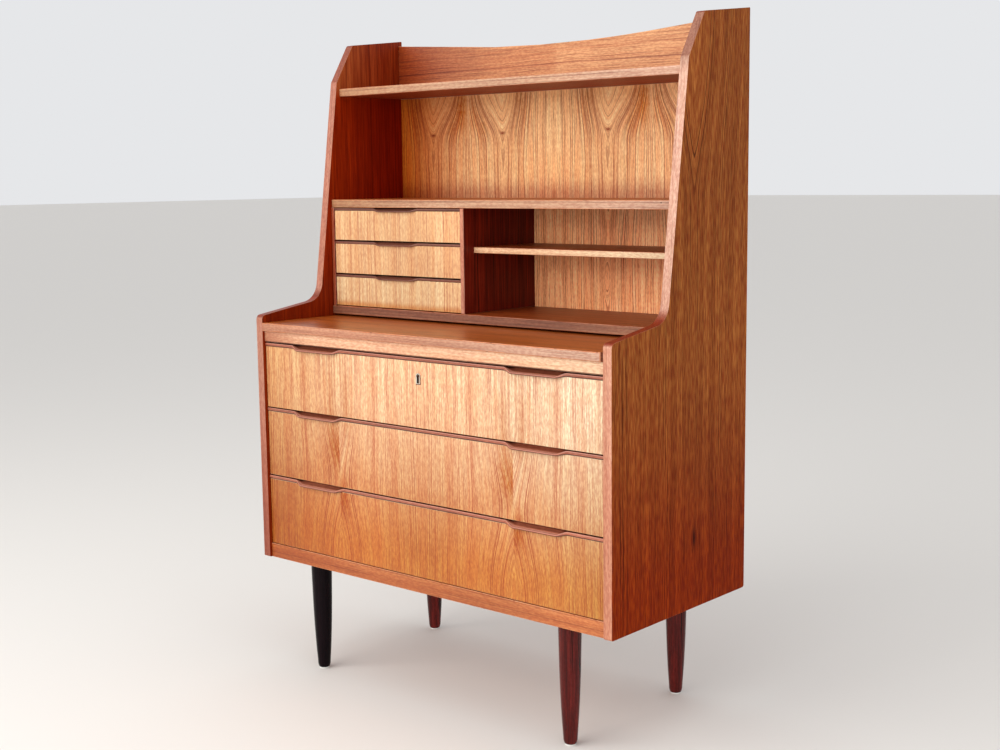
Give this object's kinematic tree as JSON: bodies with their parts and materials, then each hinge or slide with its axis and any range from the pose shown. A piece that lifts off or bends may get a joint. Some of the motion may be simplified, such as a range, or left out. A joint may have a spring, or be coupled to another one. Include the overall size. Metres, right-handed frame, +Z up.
{
  "type": "secretary desk",
  "caption": "Secretary desk: case of wide drawers on round tapered legs, a writing slab that slides out, and a raked hutch with small drawers, a cubby and open shelves.",
  "frame": {"origin": "on the floor under the middle of the desk's outer box, between its sides and between its front and back", "axes": "+Z up, +X to the desk's right as seen from the front, +Y from the front to the back"},
  "size_m": [0.91, 0.426, 1.3168],
  "materials": {
    "teak_side": "satin oiled teak veneer, grain upright",
    "teak_rail": "satin oiled teak, grain along the width",
    "teak_shelf": "satin oiled teak, grain along the width",
    "teak_slab": "satin oiled teak, worn smooth",
    "teak_front": "satin oiled teak veneer, book-matched, grain upright",
    "teak_small_front": "satin oiled teak veneer, grain upright",
    "teak_pull": "carved solid teak",
    "teak_dark_pull": "carved solid teak, dark",
    "teak_back": "satin oiled teak veneer, grain upright",
    "plain_veneer": "plain unfinished veneer",
    "rosewood_leg": "dark polished turned wood",
    "beech_inside": "plain planed beech",
    "nylon_glide": "moulded white nylon",
    "pale_metal": "brushed pale metal",
    "lock_steel": "plain steel"
  },
  "bodies": {
    "case": {"side_left": "teak_side", "side_right": "teak_side", "bottom_board": "plain_veneer", "plinth_rail": "teak_rail", "upper_rail": "teak_rail", "slab_bed": "beech_inside", "back_panel_lower": "plain_veneer", "back_panel_upper": "teak_back", "hutch_floor": "teak_shelf", "middle_shelf": "teak_shelf", "top_shelf": "teak_shelf", "crest_rail": "teak_rail", "drawer_cheek": "teak_shelf", "divider": "teak_shelf", "cubby_shelf": "teak_shelf", "leg_front_left": "rosewood_leg", "leg_front_right": "rosewood_leg", "leg_back_left": "rosewood_leg", "leg_back_right": "rosewood_leg", "glide_front_left": "nylon_glide", "glide_front_right": "nylon_glide", "glide_back_left": "nylon_glide", "glide_back_right": "nylon_glide", "top_runner_left": "beech_inside", "top_runner_right": "beech_inside", "middle_runner_left": "beech_inside", "middle_runner_right": "beech_inside", "bottom_runner_left": "beech_inside", "bottom_runner_right": "beech_inside"},
    "writing_slab": {"writing_slab": "teak_slab"},
    "top_drawer": {"top_drawer_front": "teak_front", "top_drawer_pull": "teak_pull", "top_drawer_side_left": "beech_inside", "top_drawer_side_right": "beech_inside", "top_drawer_back": "beech_inside", "top_drawer_floor": "beech_inside", "escutcheon": "pale_metal", "lock_case": "lock_steel"},
    "middle_drawer": {"middle_drawer_front": "teak_front", "middle_drawer_pull": "teak_pull", "middle_drawer_side_left": "beech_inside", "middle_drawer_side_right": "beech_inside", "middle_drawer_back": "beech_inside", "middle_drawer_floor": "beech_inside"},
    "bottom_drawer": {"bottom_drawer_front": "teak_front", "bottom_drawer_pull": "teak_pull", "bottom_drawer_side_left": "beech_inside", "bottom_drawer_side_right": "beech_inside", "bottom_drawer_back": "beech_inside", "bottom_drawer_floor": "beech_inside"},
    "small_top_drawer": {"small_top_drawer_front": "teak_small_front", "small_top_drawer_pull": "teak_dark_pull", "small_top_drawer_tray": "beech_inside"},
    "small_middle_drawer": {"small_middle_drawer_front": "teak_small_front", "small_middle_drawer_pull": "teak_dark_pull", "small_middle_drawer_tray": "beech_inside"},
    "small_bottom_drawer": {"small_bottom_drawer_front": "teak_small_front", "small_bottom_drawer_pull": "teak_dark_pull", "small_bottom_drawer_tray": "beech_inside"},
    "lock_bolt": {"lock_bolt": "lock_steel"}
  },
  "joints": [
    {"name": "writing_slab_slide", "type": "slide", "parent": "case", "child": "writing_slab", "axis": [0, -1, 0], "range_m": [0, 0.25]},
    {"name": "top_drawer_slide", "type": "slide", "parent": "case", "child": "top_drawer", "axis": [0, -1, 0], "range_m": [0, 0.3]},
    {"name": "middle_drawer_slide", "type": "slide", "parent": "case", "child": "middle_drawer", "axis": [0, -1, 0], "range_m": [0, 0.3]},
    {"name": "bottom_drawer_slide", "type": "slide", "parent": "case", "child": "bottom_drawer", "axis": [0, -1, 0], "range_m": [0, 0.3]},
    {"name": "small_top_drawer_slide", "type": "slide", "parent": "case", "child": "small_top_drawer", "axis": [0, -1, 0], "range_m": [0, 0.15]},
    {"name": "small_middle_drawer_slide", "type": "slide", "parent": "case", "child": "small_middle_drawer", "axis": [0, -1, 0], "range_m": [0, 0.15]},
    {"name": "small_bottom_drawer_slide", "type": "slide", "parent": "case", "child": "small_bottom_drawer", "axis": [0, -1, 0], "range_m": [0, 0.15]},
    {"name": "lock_bolt_slide", "type": "slide", "parent": "top_drawer", "child": "lock_bolt", "axis": [0, 0, 1], "range_m": [0, 0.007]}
  ]
}
